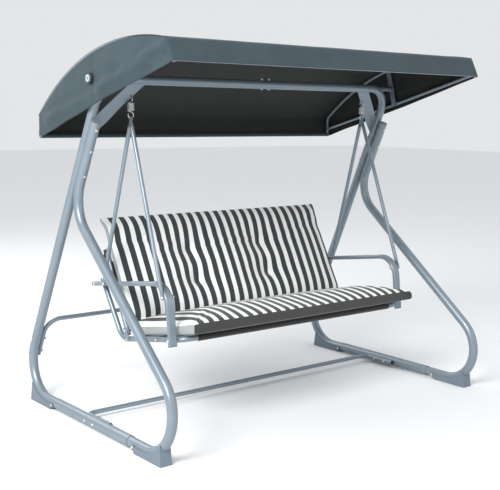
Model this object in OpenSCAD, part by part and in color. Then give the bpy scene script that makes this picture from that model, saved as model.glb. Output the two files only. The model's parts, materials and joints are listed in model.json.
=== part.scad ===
// Canopy swing bench: a bench hung on two springs from a tube stand, under a tilting fabric canopy.
// X runs across the bench, +Y to its back, +Z up. The floor is Z = 0 and X = 0 is the middle.
// The crossbar that carries everything lies above Y = 0. All sizes are millimetres.

/* [Stand] */
// Distance between the side frames at the bottom, tube centre to tube centre
base_w = 1900; // [1860:5:1960]
// Outer diameter of the leg tubes
leg_d = 45; // [44:0.5:46]
// Wall thickness of the leg tubes
leg_wall = 1.4; // [1.2:0.1:1.6]
// Radius of the three bends of a side frame
leg_bend_r = 175; // [165:5:180]
// Height of the bottom tubes' axis above the floor
rail_z = 30; // [29:0.5:33]
// Length of a side frame from the bottom tube's axis up to the crossbar's axis
frame_rise = 1529; // [1520:1:1535]
// Distance from the crossbar back to the rear bottom corner
rear_reach = 717; // [712:1:722]
// Distance from the crossbar forward to the front bottom corner
front_reach = 933; // [926:1:938]
// Lean of each side frame towards the middle, in degrees
splay = 1.9; // [1.8:0.05:2]
// Outer diameter of the sleeve that joins the bottom tubes
sleeve_d = 50; // [50:0.5:52]
// Length of that sleeve
sleeve_len = 670; // [640:5:690]
// Length of a moulded foot
foot_len = 205; // [190:5:215]
// Outer diameter of the two cross stretchers
stretcher_d = 22; // [20:1:24]

/* [Suspension] */
// Distance of each spring from the middle
hang_x = 730; // [728:0.5:732]
// Wire diameter of the springs
wire_d = 4.4; // [4:0.1:4.6]
// Mean radius of a spring's coil and of its end rings
coil_r = 13.8; // [13.4:0.1:14.2]
// Full turns of a spring, without its end rings
coil_turns = 7; // [6:1:7]
// Outer diameter of the hanger tubes
hanger_d = 19; // [18:1:20]

/* [Seat] */
// Outer diameter of the seat tubes
seat_d = 25; // [24:0.5:26]
// Distance of the seat's side tubes from the middle
seat_x = 684; // [682:1:685]
// Width of the flat-oval armrest tube
armrest_w = 44; // [38:1:45]
// Thickness of the armrest tube
armrest_t = 20; // [18:1:20]
// Width of the cushions
cushion_w = 1364; // [1340:4:1372]
// Thickness of the cushions
cushion_t = 50; // [44:2:52]

/* [Canopy] */
// Width of the fabric cover
cover_w = 1890; // [1890:2:1894]
// Thickness of the cover as a solid
cover_t = 1.5; // [1.2:0.1:1.5]
// Radius of the cover's arched top
cover_r = 1275; // [1270:1:1280]
// Highest point of the cover above the floor
cover_top = 1722; // [1718:1:1726]
// Outer diameter of the canopy tubes
pole_d = 16; // [15:0.5:16]
// Outer diameter of the clamping knobs
knob_d = 46; // [40:1:50]

/* [Hidden] */
$fn = 48;

frame_grey = "#8d9ba6";
cap_grey = "#5b6770";
steel = "#c4c8ca";
black = "#1d1f21";
slate = "#4a5a64";
stripe = "#dfe3e1";

// Sine and cosine direction of the rear leg, from the crossbar down and back
leg_len = norm([rear_reach, frame_rise]);
leg_dir = [0, rear_reach, -frame_rise] / leg_len;
// Direction at right angles to that leg, towards the front
ahead = [0, -frame_rise, -rear_reach] / leg_len;
// Gap between tubes that slide into each other
fit_gap = 0.2;
crossbar_d = leg_d - 2 * leg_wall - 2 * fit_gap;
tube_wall = 1.4;
thin_wall = 1.2;
// Bolts
bolt_d = 8;
bolt_hole = 8.6;
head_d = 14;
head_h = 5;
nut_af = 13;
nut_h = 6.5;

// Corner of the side frame where the crossbar meets the leg, and height of the crossbar
top_corner = [0, 0, frame_rise];
bar_z = rail_z + frame_rise * cos(splay);
bar_x = base_w / 2 - frame_rise * sin(splay);
bar_bend_r = 140;
// Distances down the leg from the crossbar
joint_s = 297;
spigot_s = 397;
front_top_s = 184;
front_bend_s = 624;
front_offset = leg_d + 0.5;
leg_bolt_s = [215, 320, 444];
// Distances along the bottom tube
sleeve_mid = 22;
leg_insert = 80;
foot_inner = 377.5;
foot_bolt_y = 365;
// Stretchers
low_y = 130;
low_end_y = -78;
low_bolts_y = [-28, 47];
rear_stretcher_s = 1280;
rear_stretcher_end_s = 1486;
rear_bolts_s = [1392, 1468];
rear_stretcher_r = 78;
low_stretcher_r = 35;
stretcher_gap = 0.5;
small_hole = 6.4;
small_bolt = 6;
crossbar_joint_x = -45;
crossbar_spigot = 120;
crossbar_bolt_x = [0, 45];

// Points of a side frame, in the plane of the frame
function down_leg(s) = top_corner + leg_dir * s;
rear_corner = [0, rear_reach, 0];
front_corner = [0, -front_reach, 0];
front_top = down_leg(front_top_s) + ahead * front_offset;
front_bend = down_leg(front_bend_s) + ahead * front_offset;

// Brace plate, in the plane of the crossbar and the rear leg: x across, s down the leg
brace_t = 5;
brace_outline = [[672, 12], [748, 12], [893, 185], [893, 276], [824, 207], [770, 133], [672, 21]];
eye_s = 75.4;
eye_d = 9;

// Springs: centre of the upper end ring and axis of the lower hook
hang_y = leg_dir.y * eye_s;
ring_z = bar_z + leg_dir.z * eye_s - coil_r;
hook_z = ring_z - 86.2;
coil_pitch = wire_d + 0.4;
coil_lead = (ring_z - hook_z - 3 * coil_r - coil_turns * coil_pitch) / 2;
ring_gap = 45;

// Hangers
hanger_gap = 2.3;
hanger_foot_x = 749;
paddle_t = 4;
paddle_w = 20;
paddle_len = 28;
paddle_taper = 18;
paddle_hole = 7.6;
foot_hole = 8.6;
front_hanger_foot = [-250, 616];
rear_hanger_foot = [257, 604.2];

// Seat, side view: rear bottom corner, front rail, top of the rear upright
seat_corner = [192, 341];
seat_front = [-313, 433];
seat_top = [374, 606];
seat_bend_r = 80;
front_bend_r = 55;
cross_rail_d = 22;
rail_plug = 30;
cross_rail_y = [125, -120];
back_foot = [139, 372];
back_top = [345, 775];
back_bend_r = 60;
spigot_len = 60;
armrest_x = 719;
armrest_wall = 1.5;
armrest_rear = [384, 586];
armrest_corner = [-253, 677];
armrest_foot = [-286, 404];
armrest_bend_r = 100;
armrest_bolt = [-281, 427.5];
armrest_spacer = 2.1;
upright_bolt = [362, 589];
bracket_t = 3;
bracket_bolts = [[148, 389]];

// Directions of the seat and of the back, and their normals towards a sitter
seat_len = norm(seat_front - seat_corner);
seat_dir = (seat_front - seat_corner) / seat_len;
seat_up = [seat_dir[1], -seat_dir[0]];
back_len = norm(back_top - back_foot);
back_dir = (back_top - back_foot) / back_len;
back_ahead = [-back_dir[1], back_dir[0]];

// Slings and cushions, measured along and away from those planes
sling_x = 607;
sling_t = 3;
sleeve_gap = 0.3;
back_sling_low = 90;
back_sling_high = 365;
seat_cushion_rise = 19;
seat_cushion_rear = 76;
seat_cushion_front = 618;
back_outline = [[17, 47], [60, 34], [65, 54], [50, 250], [34.5, 445], [60, 480], [67, 520],
    [62, 560], [46, 578], [17, 578]];

// Canopy, side view
cover_arc = [-330, cover_top - cover_r];
cover_rear_y = 522;
cover_rear_z = 1290;
cover_front_top = [-545, 1703];
cover_front_low = [-592, 1614];
rail_through = [-37, 1480];
rail_slope = -0.27;
rail_x = 934.8;
rail_bend_r = 300;
arch_front_x = 911;
arch_rear_x = 927;
arch_rear_y = 508;
arch_r = cover_r - 11;
arch_front_a = -8.3;
arch_rear_a = 40.4;
arch_corner_r = 35;
arch_inset = 10.5;
rear_tube_z = 1300;
rear_tube_x = 938;
top_tube = [-520, 1693];
front_tube = [-577, 1620];
bar_w = 30;
bar_t = 4;
axle_boss_d = 25;
axle_boss_x = 922.3;
axle_bore_x = 862;
stud_d = 10;
stud_hole = 10.2;
stud_x = 868;
knob_x = cover_w / 2 + 0.3;
knob_t = 14;
knob_hub_t = 6;
knob_flutes = 14;

// ---------------------------------------------------------------- helpers

function unit(v) = v / norm(v);
function across(v) = unit(cross(abs(v.x) < 0.9 ? [1, 0, 0] : [0, 1, 0], v));
function bend_axis(a, b, c) = unit(cross(b - a, c - b));
function turn(a, b, c) = acos(unit(b - a) * unit(c - b));

// Puts children at a point, with their axes along ex, ey and ez
module place(at, ex, ey, ez) {
    multmatrix([
        [ex.x, ey.x, ez.x, at.x],
        [ex.y, ey.y, ez.y, at.y],
        [ex.z, ey.z, ez.z, at.z],
        [0, 0, 0, 1]
    ])
        children();
}

// Runs a profile along a line of points, rounding each corner to a radius.
// The profile's own y axis stays at right angles to the plane of the bends.
// Straights and bends lap by a little, and a bend is a hair slimmer, so that they join cleanly.
lap = 0.3;
slim = 0.04;
$slim = 0;
module run(points, radius, tail = 0) {
    last = len(points) - 1;
    radii = is_list(radius) ? radius : [for (i = [0:last]) radius];
    cut = [for (i = [0:last])
        i == 0 || i == last ? 0
            : radii[i] * tan(turn(points[i - 1], points[i], points[i + 1]) / 2)];
    for (i = [0:last - 1]) {
        a = points[i];
        b = points[i + 1];
        along = unit(b - a);
        first = max(1, min(i, last - 1));
        side = last < 2 ? across(along)
            : bend_axis(points[first - 1], points[first], points[first + 1]);
        place(a + along * cut[i], cross(side, along), side, along)
            translate([0, 0, i == 0 ? 0 : -lap])
                linear_extrude(norm(b - a) - cut[i] - cut[i + 1] + (i == 0 ? 0 : lap)
                    + (i == last - 1 ? tail : lap))
                    children();
    }
    if (last > 1) for (i = [1:last - 1]) {
        a = points[i - 1];
        b = points[i];
        c = points[i + 1];
        along = unit(b - a);
        axis = bend_axis(a, b, c);
        out = cross(along, axis);
        extra = lap / radii[i] * 180 / PI;
        $slim = slim;
        place(b - along * cut[i] - out * radii[i], out, along, axis)
            rotate([0, 0, -extra])
                rotate_extrude(angle = turn(a, b, c) + 2 * extra)
                    translate([radii[i], 0])
                        children();
    }
}

// Its first point is turned away from the bolt holes
module disc(d) {
    rotate(45)
        circle(d = d - $slim);
}

module ring(d, bore) {
    difference() {
        disc(d);
        disc(bore);
    }
}

// Hollow tube along points
module tube(points, radius, d, wall) {
    run(points, radius)
        ring(d, d - 2 * wall);
}

// Cylinder through a point, along a direction, reaching before and after it
module rod(at, dir, d, before, after) {
    z = unit(dir);
    x = across(z);
    place(at - z * before, x, cross(z, x), z)
        cylinder(h = before + after, d = d);
}

// Bolt from a head at one end to a nut at the other, with the length between them
module bolt(at, dir, grip, d = bolt_d) {
    z = unit(dir);
    x = across(z);
    place(at, x, cross(z, x), z) {
        translate([0, 0, -head_h])
            rotate_extrude()
                polygon([[0, 0], [head_d / 2 - 3, 0], [head_d / 2, 3], [head_d / 2, head_h],
                    [0, head_h]]);
        cylinder(h = grip + nut_h + 3, d = d);
        translate([0, 0, grip])
            cylinder(h = nut_h, d = nut_af / cos(30), $fn = 6);
    }
}

// Plane of the right side frame: local z runs up the frame, local x points outwards
module on_side_frame() {
    translate([base_w / 2, 0, rail_z])
        rotate([0, -splay, 0])
            children();
}

// The same move for a point
function in_frame(p) = [
    base_w / 2 + p.x * cos(splay) - p.z * sin(splay),
    p.y,
    rail_z + p.x * sin(splay) + p.z * cos(splay)
];

module left() {
    mirror([1, 0, 0])
        children();
}

module both_sides() {
    children();
    mirror([1, 0, 0])
        children();
}

// ---------------------------------------------------------------- stand, right side

module leg_bolt_holes(reach) {
    for (s = leg_bolt_s)
        rod(down_leg(s), ahead, bolt_hole, reach, reach + front_offset);
}

module rear_leg() {
    color(frame_grey)
        difference() {
            on_side_frame()
                tube([down_leg(joint_s), rear_corner, [0, sleeve_mid + sleeve_len / 2 - leg_insert, 0]],
                    leg_bend_r, leg_d, leg_wall);
            on_side_frame()
                leg_bolt_holes(leg_d);
            side_bolt_holes();
            foot_bolt_hole(1);
        }
}

module front_leg() {
    color(frame_grey)
        difference() {
            on_side_frame()
                tube([front_top, front_bend, front_corner,
                    [0, sleeve_mid - sleeve_len / 2 + leg_insert, 0]],
                    leg_bend_r, leg_d, leg_wall);
            on_side_frame()
                leg_bolt_holes(leg_d);
            foot_bolt_hole(-1);
        }
}

module rail_sleeve() {
    color(frame_grey)
        on_side_frame()
            difference() {
                run([[0, sleeve_mid + sleeve_len / 2, 0], [0, sleeve_mid - sleeve_len / 2, 0]], 0)
                    ring(sleeve_d, leg_d + 2 * fit_gap);
                for (y = low_bolts_y)
                    rod([0, y, 0], [1, 0, 0], bolt_hole, sleeve_d, sleeve_d);
            }
}

// Moulded wedge that cradles the bottom bend of a leg, with two ears for its bolt
foot_half_w = 29;
foot_top_half_w = 26;
foot_end_h = 92;
foot_lean = 10;
ear_half_w = 28;
ear_len = 20;
ear_z = [12, 34];
foot_bolt_z = 23;

module foot_bolt_hole(side) {
    rod([base_w / 2, side * foot_bolt_y, foot_bolt_z], [1, 0, 0], bolt_hole, leg_d, leg_d);
}

// side is 1 at the back and -1 at the front
module foot(side) {
    corner = side > 0 ? rear_corner : front_corner;
    next = side > 0 ? top_corner : front_bend;
    foot_end = foot_inner + foot_len;
    bend_y = abs(corner.y) - leg_bend_r * tan(turn([0, 0, 0], corner, next) / 2);
    color(cap_grey)
        difference() {
            union() {
                intersection() {
                    place([base_w / 2 - foot_half_w, 0, 0], [0, side, 0], [0, 0, 1], [1, 0, 0])
                        linear_extrude(2 * foot_half_w)
                            difference() {
                                polygon([[foot_inner, 0], [foot_end, 0],
                                    [foot_end - foot_lean, foot_end_h],
                                    [bend_y, rail_z], [foot_inner, rail_z]]);
                                translate([bend_y, rail_z + leg_bend_r])
                                    circle(r = leg_bend_r - 1, $fn = 96);
                            }
                    place([base_w / 2, -foot_end - 1, 0], [1, 0, 0], [0, 0, 1], [0, 1, 0])
                        linear_extrude(2 * foot_end + 2)
                            polygon([[-foot_half_w, -1], [foot_half_w, -1],
                                [foot_top_half_w, foot_end_h + 1],
                                [-foot_top_half_w, foot_end_h + 1]]);
                }
                translate([base_w / 2 - ear_half_w,
                    side > 0 ? foot_inner - ear_len : -foot_inner - 1, ear_z[0]])
                    cube([2 * ear_half_w, ear_len + 1, ear_z[1] - ear_z[0]]);
            }
            on_side_frame()
                run([[0, 0, 0], corner, next], leg_bend_r)
                    disc(leg_d + 2 * fit_gap);
            foot_bolt_hole(side);
        }
}

// Line of the crossbar's axis, from a point in the middle and down into the leg
function bar_line(x) = [[x, 0, bar_z], [bar_x, 0, bar_z], in_frame(down_leg(spigot_s))];

// Half of the crossbar from x outwards, with the boss that takes the canopy's stud
module crossbar_half(x, spigot) {
    color(frame_grey)
        difference() {
            union() {
                run(bar_line(x), bar_bend_r)
                    disc(crossbar_d);
                rod([axle_boss_x, 0, bar_z], [1, 0, 0], axle_boss_d, axle_boss_x - 800, 0);
            }
            run(bar_line(x - 1), bar_bend_r, 1)
                disc(crossbar_d - 2 * tube_wall);
            rod([axle_boss_x, 0, bar_z], [1, 0, 0], stud_hole, axle_boss_x - axle_bore_x, 1);
            on_side_frame()
                leg_bolt_holes(leg_d);
            if (!spigot)
                crossbar_bolt_holes();
        }
}

module crossbar_bolt_holes() {
    for (x = crossbar_bolt_x)
        rod([x, 0, bar_z], [0, 0, 1], bolt_hole, crossbar_d, crossbar_d);
}

// Inner sleeve that joins two tubes end to end: fixed in the half below x, loose in the other
module spigot(at, dir, d, reach) {
    bore = d - 2 * tube_wall;
    z = unit(dir);
    x = across(z);
    place(at, x, cross(z, x), z) {
        translate([0, 0, -reach])
            linear_extrude(reach)
                ring(bore + 0.4, bore - 2 * tube_wall);
        linear_extrude(reach)
            ring(bore - 2 * fit_gap, bore - 2 * tube_wall);
    }
}

module crossbar_left_half() {
    left()
        crossbar_half(-crossbar_joint_x, true);
    color(frame_grey)
        difference() {
            spigot([crossbar_joint_x, 0, bar_z], [1, 0, 0], crossbar_d, crossbar_spigot);
            crossbar_bolt_holes();
        }
}

// Gusset between the crossbar and the top of the leg; the spring hangs from its eye
module brace() {
    color(frame_grey)
        difference() {
            place([0, 0, bar_z] - cross([1, 0, 0], leg_dir) * brace_t / 2,
                [1, 0, 0], leg_dir, cross([1, 0, 0], leg_dir))
                difference() {
                    linear_extrude(brace_t)
                        polygon(brace_outline);
                    translate([hang_x, eye_s, -1])
                        cylinder(h = brace_t + 2, d = eye_d);
                }
            run(bar_line(0), bar_bend_r)
                disc(crossbar_d + 0.1);
        }
}

low_line = [[base_w / 2 - (sleeve_d + stretcher_d) / 2 - 0.3, low_end_y, rail_z],
    [base_w / 2 - (sleeve_d + stretcher_d) / 2 - 0.3, low_y, rail_z], [0, low_y, rail_z]];
rear_line_x = -(leg_d + stretcher_d) / 2 - stretcher_gap;
rear_bend = in_frame(down_leg(rear_stretcher_s) + [rear_line_x, 0, 0]);
rear_line = [in_frame(down_leg(rear_stretcher_end_s) + [rear_line_x, 0, 0]), rear_bend,
    [0, rear_bend.y, rear_bend.z]];

module stretcher_half(line, radius, spigot) {
    end = line[2];
    color(frame_grey)
        difference() {
            union() {
                tube(line, radius, stretcher_d, thin_wall);
                if (spigot)
                    spigot(end, [-1, 0, 0], stretcher_d, spigot_len);
            }
            side_bolt_holes();
            rod([spigot ? -spigot_len / 2 : spigot_len / 2, end.y, end.z], [0, 0, 1],
                small_hole, stretcher_d, stretcher_d);
        }
}

module side_bolt_holes() {
    on_side_frame() {
        for (y = low_bolts_y)
            rod([0, y, 0], [1, 0, 0], bolt_hole, 80, leg_d);
        for (s = rear_bolts_s)
            rod(down_leg(s), [1, 0, 0], bolt_hole, 80, leg_d);
    }
}

// Plug in the open end of a round tube; dir points out of the tube
module tube_plug(at, dir, d, wall) {
    z = unit(dir);
    x = across(z);
    place(at, x, cross(z, x), z) {
        translate([0, 0, 0.1])
            cylinder(h = 2, d = d);
        translate([0, 0, -12])
            cylinder(h = 12.2, d = d - 2 * wall - 0.4);
    }
}

module stand_plugs_right() {
    on_side_frame()
        tube_plug(front_top, -leg_dir, leg_d, leg_wall);
    tube_plug(low_line[0], [0, -1, 0], stretcher_d, thin_wall);
    tube_plug(rear_line[0], rear_line[0] - rear_line[1], stretcher_d, thin_wall);
}

module leg_bolts_right() {
    on_side_frame()
        for (s = leg_bolt_s)
            bolt(down_leg(s) + ahead * (front_offset + leg_d / 2 + 0.1), -ahead,
                front_offset + leg_d / 2 + (s < joint_s ? crossbar_d : leg_d) / 2 + 0.2);
}

module foot_bolts_right() {
    for (side = [-1, 1])
        bolt([base_w / 2 + ear_half_w + 0.1, side * foot_bolt_y, foot_bolt_z], [-1, 0, 0],
            2 * ear_half_w + 0.2);
}

module stretcher_bolts_right() {
    on_side_frame() {
        for (y = low_bolts_y)
            bolt([sleeve_d / 2 + 0.1, y, 0], [-1, 0, 0], sleeve_d + stretcher_d + 0.8);
        for (s = rear_bolts_s)
            bolt([leg_d / 2 + 0.1, down_leg(s).y, down_leg(s).z], [-1, 0, 0],
                leg_d + stretcher_d + stretcher_gap + 0.3);
    }
}

module stretcher_bolts() {
    both_sides()
        stretcher_bolts_right();
    for (p = [low_line[2], rear_line[2]])
        rod([spigot_len / 2, p.y, p.z], [0, 0, 1], small_bolt, stretcher_d / 2 + 4,
            stretcher_d / 2 + 4);
}

module crossbar_bolts() {
    for (x = crossbar_bolt_x)
        bolt([x, 0, bar_z - crossbar_d / 2 - 0.1], [0, 0, 1], crossbar_d + 0.2);
}

// ---------------------------------------------------------------- springs and hangers

// Path of a spring, from the free end of its upper ring down to its lower ring
function spring_path() = concat(
    [for (a = [ring_gap:12:359]) [0, coil_r * -sin(a), ring_z - coil_r * cos(a)]],
    [for (i = [0:10]) [coil_r / 2 * (1 - cos(i * 18)), coil_r / 2 * sin(i * 18),
        ring_z - coil_r - coil_lead * i / 10]],
    [for (i = [1:coil_turns * 20]) [coil_r * cos(i * 18), -coil_r * sin(i * 18),
        ring_z - coil_r - coil_lead - coil_pitch * i / 20]],
    [for (i = [1:10]) [coil_r / 2 * (1 + cos(i * 18)), -coil_r / 2 * sin(i * 18),
        hook_z + 2 * coil_r + coil_lead * (1 - i / 10)]],
    [for (a = [6:12:360 - ring_gap]) [-coil_r * sin(a) * 1, 0, hook_z + coil_r + coil_r * cos(a)]]
);

// Round wire along a path, with its sections turned as little as possible
module wire(path, d, sides = 8) {
    n = len(path);
    along = [for (i = [0:n - 1]) unit(path[min(i + 1, n - 1)] - path[max(i - 1, 0)])];
    side = [for (i = 0, v = across(along[0]); i < n;
        i = i + 1, v = i < n ? unit(v - along[i] * (v * along[i])) : v) v];
    points = [for (i = [0:n - 1], k = [0:sides - 1])
        path[i] + d / 2 * (side[i] * cos(360 * k / sides)
            + cross(along[i], side[i]) * sin(360 * k / sides))];
    faces = concat(
        [[for (k = [0:sides - 1]) k]],
        [for (i = [0:n - 2], k = [0:sides - 1])
            [i * sides + k, (i + 1) * sides + k,
                (i + 1) * sides + (k + 1) % sides, i * sides + (k + 1) % sides]],
        [[for (k = [0:sides - 1]) (n - 1) * sides + sides - 1 - k]]);
    polyhedron(points, faces, convexity = 10);
}

module spring() {
    color(steel)
        translate([hang_x, hang_y, 0])
            wire(spring_path(), wire_d);
}

// Tube flattened at both ends; x is how far its top lies outside the spring's middle
module hanger(x, foot_at) {
    top = [hang_x + x, hang_y, hook_z];
    bottom = [hanger_foot_x, foot_at[0], foot_at[1]];
    length = norm(bottom - top);
    z = unit(bottom - top);
    ex = unit([1, 0, 0] - z * z.x);
    color(frame_grey)
        place(top, ex, cross(z, ex), z) {
            hanger_end(paddle_hole);
            translate([0, 0, length])
                mirror([0, 0, 1])
                    hanger_end(foot_hole);
            translate([0, 0, paddle_len + paddle_taper])
                linear_extrude(length - 2 * (paddle_len + paddle_taper))
                    difference() {
                        circle(d = hanger_d);
                        circle(d = hanger_d - 2 * thin_wall);
                    }
        }
}

module hanger_end(hole) {
    difference() {
        union() {
            rod([0, 0, 0], [1, 0, 0], paddle_w, paddle_t / 2, paddle_t / 2);
            translate([-paddle_t / 2, -paddle_w / 2, 0])
                cube([paddle_t, paddle_w, paddle_len]);
        }
        rod([0, 0, 0], [1, 0, 0], hole, paddle_t, paddle_t);
    }
    hull() {
        translate([-paddle_t / 2, -paddle_w / 2, paddle_len - 0.2])
            cube([paddle_t, paddle_w, 0.2]);
        translate([0, 0, paddle_len + paddle_taper - 0.2])
            cylinder(h = 0.2, d = hanger_d, $fn = 32);
    }
}

// ---------------------------------------------------------------- seat

function side_point(p, x = seat_x) = [x, p[0], p[1]];
function on_seat(along, up) = seat_corner + seat_dir * along + seat_up * up;
function on_back(along, ahead) = back_foot + back_dir * along + back_ahead * ahead;

// Holes across the seat's side tubes, the back tubes and the armrests
module seat_holes() {
    for (y = cross_rail_y)
        side_hole([y, seat_corner[1] + (y - seat_corner[0]) * seat_dir[1] / seat_dir[0]]);
    for (p = concat(bracket_bolts, [armrest_bolt, upright_bolt, front_hanger_foot,
        rear_hanger_foot]))
        side_hole(p);
}

module side_hole(p) {
    rod(side_point(p, 640), [1, 0, 0], bolt_hole, 0, 120);
}

module seat_tube(spigot) {
    color(frame_grey)
        difference() {
            union() {
                tube([side_point(seat_top), side_point(seat_corner), side_point(seat_front),
                    side_point(seat_front, 0)], [0, seat_bend_r, front_bend_r, 0],
                    seat_d, tube_wall);
                if (spigot)
                    spigot(side_point(seat_front, 0), [-1, 0, 0], seat_d, spigot_len);
            }
            seat_holes();
        }
}

module back_tube(spigot) {
    color(frame_grey)
        difference() {
            union() {
                tube([side_point(back_foot), side_point(back_top), side_point(back_top, 0)],
                    back_bend_r, seat_d, tube_wall);
                if (spigot)
                    spigot(side_point(back_top, 0), [-1, 0, 0], seat_d, spigot_len);
            }
            seat_holes();
        }
}

// Rail between the side tubes, with a threaded plug in each end
module cross_rail(y) {
    p = on_seat((y - seat_corner[0]) / seat_dir[0], 0);
    color(frame_grey)
        difference() {
            rod(side_point(p, 0), [1, 0, 0], cross_rail_d, seat_x - 4, seat_x - 4);
            rod(side_point(p, 0), [1, 0, 0], cross_rail_d - 2 * thin_wall,
                seat_x - seat_d / 2 - rail_plug, seat_x - seat_d / 2 - rail_plug);
            both_sides() {
                seat_holes();
                run([side_point(seat_corner), side_point(seat_front)], 0)
                    circle(d = seat_d + 0.1);
            }
        }
}

module flat_oval(w, t) {
    square([t - $slim, w - t], center = true);
    for (y = [-1, 1])
        translate([0, y * (w - t) / 2])
            disc(t);
}

module armrest() {
    color(frame_grey)
        difference() {
            run([for (p = [armrest_rear, armrest_corner, armrest_foot]) side_point(p, armrest_x)],
                armrest_bend_r)
                difference() {
                    flat_oval(armrest_w, armrest_t);
                    flat_oval(armrest_w - 2 * armrest_wall, armrest_t - 2 * armrest_wall);
                }
            seat_holes();
        }
}

module armrest_plug(at, towards) {
    z = unit(side_point(at) - side_point(towards));
    place(side_point(at, armrest_x), cross([1, 0, 0], z), [1, 0, 0], z) {
        translate([0, 0, 0.1])
            linear_extrude(2)
                flat_oval(armrest_w, armrest_t);
        translate([0, 0, -12])
            linear_extrude(12.2)
                flat_oval(armrest_w - 2 * armrest_wall - 0.4, armrest_t - 2 * armrest_wall - 0.4);
    }
}

module seat_plugs_right() {
    armrest_plug(armrest_rear, armrest_corner);
    armrest_plug(armrest_foot, armrest_corner);
    tube_plug(side_point(seat_top), side_point(seat_top) - side_point(seat_corner),
        seat_d, tube_wall);
    tube_plug(side_point(back_foot), side_point(back_foot) - side_point(back_top),
        seat_d, tube_wall);
}

// Plate that joins the foot of a back tube to the seat's side tube
module back_bracket() {
    x = seat_x + seat_d / 2 + 0.1;
    difference() {
        place([x, 0, 0], [0, 1, 0], [0, 0, 1], [1, 0, 0])
            linear_extrude(bracket_t)
                polygon([[112, 345], [134, 341], [164, 384], [160, 402], [142, 406], [112, 366]]);
        seat_holes();
    }
}

module hanger_bolts_right() {
    outer = hanger_foot_x + paddle_t / 2 + 0.4;
    bolt(side_point(front_hanger_foot, outer), [-1, 0, 0],
        outer - armrest_x + armrest_w / 2 + 0.1);
    bolt(side_point(rear_hanger_foot, outer), [-1, 0, 0],
        outer - seat_x + seat_d / 2 + 0.1);
    for (p = [front_hanger_foot, rear_hanger_foot])
        spacer(p, armrest_x + armrest_w / 2 + 0.1, hanger_foot_x - paddle_t / 2 - 0.4);
}

module spacer(p, from, to) {
    difference() {
        rod(side_point(p, from), [1, 0, 0], head_d, 0, to - from);
        side_hole(p);
    }
}

module seat_bolts_right() {
    outer = armrest_x + armrest_w / 2 + 0.1;
    bolt(side_point(upright_bolt, outer), [-1, 0, 0], outer - seat_x + seat_d / 2 + 0.1);
    bolt(side_point(armrest_bolt, outer), [-1, 0, 0], outer - 661);
    spacer(armrest_bolt, armrest_x - armrest_w / 2 - 0.1 - armrest_spacer,
        armrest_x - armrest_w / 2 - 0.1);
    for (p = bracket_bolts)
        bolt(side_point(p, seat_x + seat_d / 2 + bracket_t + 0.2), [-1, 0, 0],
            seat_d + bracket_t + 0.3);
    for (i = [0, 1])
        rail_bolt(side_point(on_seat((cross_rail_y[i] - seat_corner[0]) / seat_dir[0], 0),
            seat_x + seat_d / 2 + 0.1), i == 0 ? bracket_t + 0.1 : 0);
}

// The rear rail's bolt goes through the back bracket too
module rail_bolt(at, plate) {
    rod(at + [plate, 0, 0], [1, 0, 0], head_d, 0, head_h);
    rod(at, [1, 0, 0], bolt_d, seat_d + rail_plug - 6, plate + 1);
}

module seat_sling() {
    front = seat_len;
    rear = (cross_rail_y[0] - seat_corner[0]) / seat_dir[0];
    top = seat_d / 2 + sleeve_gap;
    color(black)
        place([-sling_x, 0, 0], [0, 1, 0], [0, 0, 1], [1, 0, 0])
            linear_extrude(2 * sling_x)
                difference() {
                    union() {
                        polygon([on_seat(front, top), on_seat(rear, top),
                            on_seat(rear, top + sling_t), on_seat(front, top + sling_t)]);
                        translate(on_seat(front, 0))
                            circle(d = seat_d + 2 * sleeve_gap + 2 * sling_t);
                        translate(on_seat(rear, 0))
                            circle(d = cross_rail_d + 2 * sleeve_gap + 2 * sling_t);
                    }
                    translate(on_seat(front, 0))
                        circle(d = seat_d + 2 * sleeve_gap);
                    translate(on_seat(rear, 0))
                        circle(d = cross_rail_d + 2 * sleeve_gap);
                }
}

module back_sling() {
    low = side_point(on_back(back_sling_low, 0), 0);
    height = back_sling_high - back_sling_low;
    top = seat_d / 2 + sleeve_gap;
    color(black)
        difference() {
            place(low, [1, 0, 0], [0, back_ahead[0], back_ahead[1]],
                [0, back_dir[0], back_dir[1]] )
                linear_extrude(height)
                    difference() {
                        union() {
                            translate([-seat_x, top])
                                square([2 * seat_x, sling_t]);
                            for (x = [-seat_x, seat_x])
                                translate([x, 0])
                                    circle(r = top + sling_t);
                        }
                        for (x = [-seat_x, seat_x]) {
                            translate([x, 0])
                                circle(r = top);
                            translate([x > 0 ? x + 6 : x - 26, -20])
                                square([20, 40]);
                        }
                    }
            both_sides()
                rod(side_point(rear_hanger_foot, 640), [1, 0, 0], 20, 0, 120);
        }
}

module seat_cushion() {
    low = seat_cushion_rise;
    color(stripe)
        place([-cushion_w / 2, 0, 0], [0, 1, 0], [0, 0, 1], [1, 0, 0])
            linear_extrude(cushion_w)
                polygon([on_seat(seat_cushion_rear, low), on_seat(seat_cushion_front, low),
                    on_seat(seat_cushion_front, low + cushion_t),
                    on_seat(seat_cushion_rear, low + cushion_t)]);
}

module back_cushion() {
    color(stripe)
        place([-cushion_w / 2, 0, 0], [0, 1, 0], [0, 0, 1], [1, 0, 0])
            linear_extrude(cushion_w)
                polygon([for (p = back_outline) on_back(p[1], p[0])]);
}

// ---------------------------------------------------------------- canopy

function on_arc(r, a) = cover_arc + r * [sin(a), cos(a)];
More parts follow.
